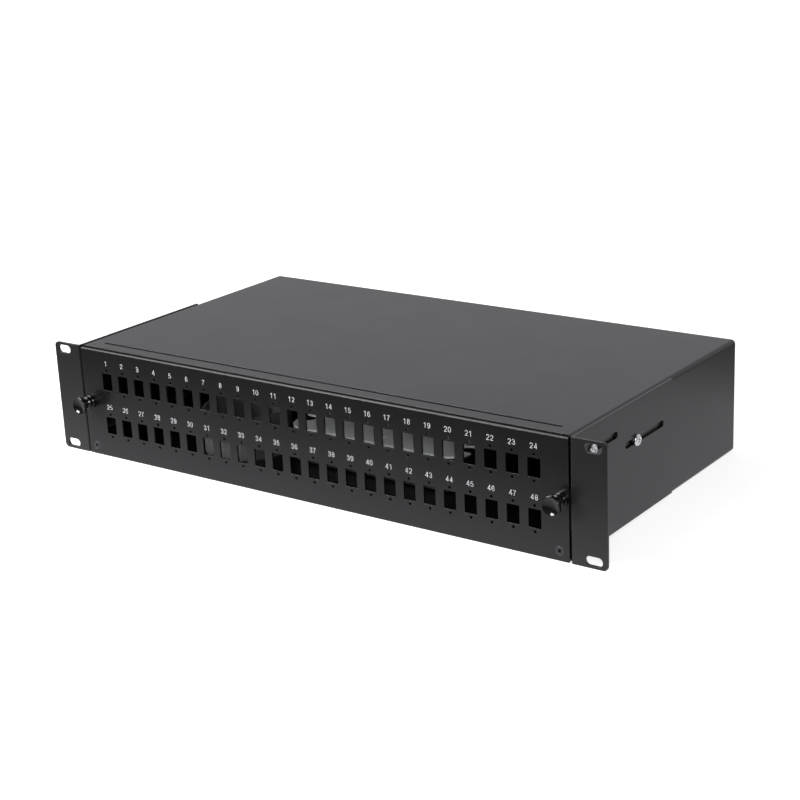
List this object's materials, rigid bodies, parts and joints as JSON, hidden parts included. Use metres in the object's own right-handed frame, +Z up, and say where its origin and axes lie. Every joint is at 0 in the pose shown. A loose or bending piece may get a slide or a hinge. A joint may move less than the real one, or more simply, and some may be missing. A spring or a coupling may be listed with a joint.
{
  "type": "fibre patch panel",
  "caption": "Rack-mount sliding fibre patch panel: folded steel case, drawer with rows of adapter openings, push-pull latches, depth-set ears and rear cable glands.",
  "frame": {"origin": "centre of the four rack slots, on the rear face of the ears, which meets the rack's posts", "axes": "+X to the right seen from the front, +Y from the front to the back, +Z up"},
  "size_m": [0.485, 0.2752, 0.0865],
  "materials": {
    "powder_black": "satin black powder coat with a fine grain",
    "zinc_steel": "bright zinc plate",
    "black_screw": "black oxide",
    "slide_steel": "zinc-plated strip",
    "ball_steel": "polished",
    "cage_plastic": "moulded",
    "latch_black": "glossy moulded nylon",
    "lid_grey": "moulded, light grey",
    "drum_grey": "moulded, mid grey",
    "tray_black": "moulded",
    "gland_black": "moulded nylon",
    "seal_rubber": "soft rubber"
  },
  "bodies": {
    "case": {"case_wrap": "powder_black", "base_plate": "powder_black", "rear_panel": "powder_black", "base_screws": "zinc_steel", "rear_screws": "zinc_steel", "ear_screws": "zinc_steel", "ear_nuts": "zinc_steel", "slide_outer_left": "slide_steel", "slide_outer_right": "slide_steel", "gland_body_left": "gland_black", "gland_body_right": "gland_black", "gland_nut_left": "gland_black", "gland_nut_right": "gland_black", "gland_seal_left": "seal_rubber", "gland_seal_right": "seal_rubber", "gland_locknut_left": "gland_black", "gland_locknut_right": "gland_black", "blank_plug_left": "seal_rubber", "blank_plug_right": "seal_rubber"},
    "drawer": {"drawer_pan": "powder_black", "front_panel": "powder_black", "panel_screws": "black_screw", "panel_nuts": "zinc_steel", "slide_inner_left": "slide_steel", "slide_inner_right": "slide_steel", "latch_grommet_left": "latch_black", "latch_grommet_right": "latch_black", "splice_tray_lower": "tray_black", "splice_tray_upper": "tray_black", "splice_comb_lower": "tray_black", "splice_comb_upper": "tray_black", "splice_lid": "lid_grey", "tray_studs": "zinc_steel", "tray_spacers": "tray_black", "tray_nuts": "tray_black", "fibre_drum": "drum_grey", "drum_screws": "zinc_steel"},
    "cage_left": {"ball_cage_left": "cage_plastic", "slide_balls_left": "ball_steel"},
    "cage_right": {"ball_cage_right": "cage_plastic", "slide_balls_right": "ball_steel"},
    "plunger_left": {"latch_plunger_left": "latch_black"},
    "plunger_right": {"latch_plunger_right": "latch_black"},
    "ear_left": {"rack_ear_left": "powder_black"},
    "ear_right": {"rack_ear_right": "powder_black"}
  },
  "joints": [
    {"name": "drawer_slide", "type": "slide", "parent": "case", "child": "drawer", "axis": [0, -1, 0], "range_m": [0, 0.15]},
    {"name": "cage_roll_left", "type": "slide", "parent": "case", "child": "cage_left", "axis": [0, -1, 0], "range_m": [0, 0.075]},
    {"name": "cage_roll_right", "type": "slide", "parent": "case", "child": "cage_right", "axis": [0, -1, 0], "range_m": [0, 0.075]},
    {"name": "latch_pull_left", "type": "slide", "parent": "drawer", "child": "plunger_left", "axis": [0, -1, 0], "range_m": [0, 0.006]},
    {"name": "latch_pull_right", "type": "slide", "parent": "drawer", "child": "plunger_right", "axis": [0, -1, 0], "range_m": [0, 0.006]},
    {"name": "ear_depth_left", "type": "slide", "parent": "case", "child": "ear_left", "axis": [0, 1, 0], "range_m": [-0.0315, 0.0125]},
    {"name": "ear_depth_right", "type": "slide", "parent": "case", "child": "ear_right", "axis": [0, 1, 0], "range_m": [-0.0315, 0.0125]}
  ],
  "couplings": [
    {"joint": "cage_roll_left", "follows": "drawer_slide", "ratio": 0.5},
    {"joint": "cage_roll_right", "follows": "drawer_slide", "ratio": 0.5}
  ]
}
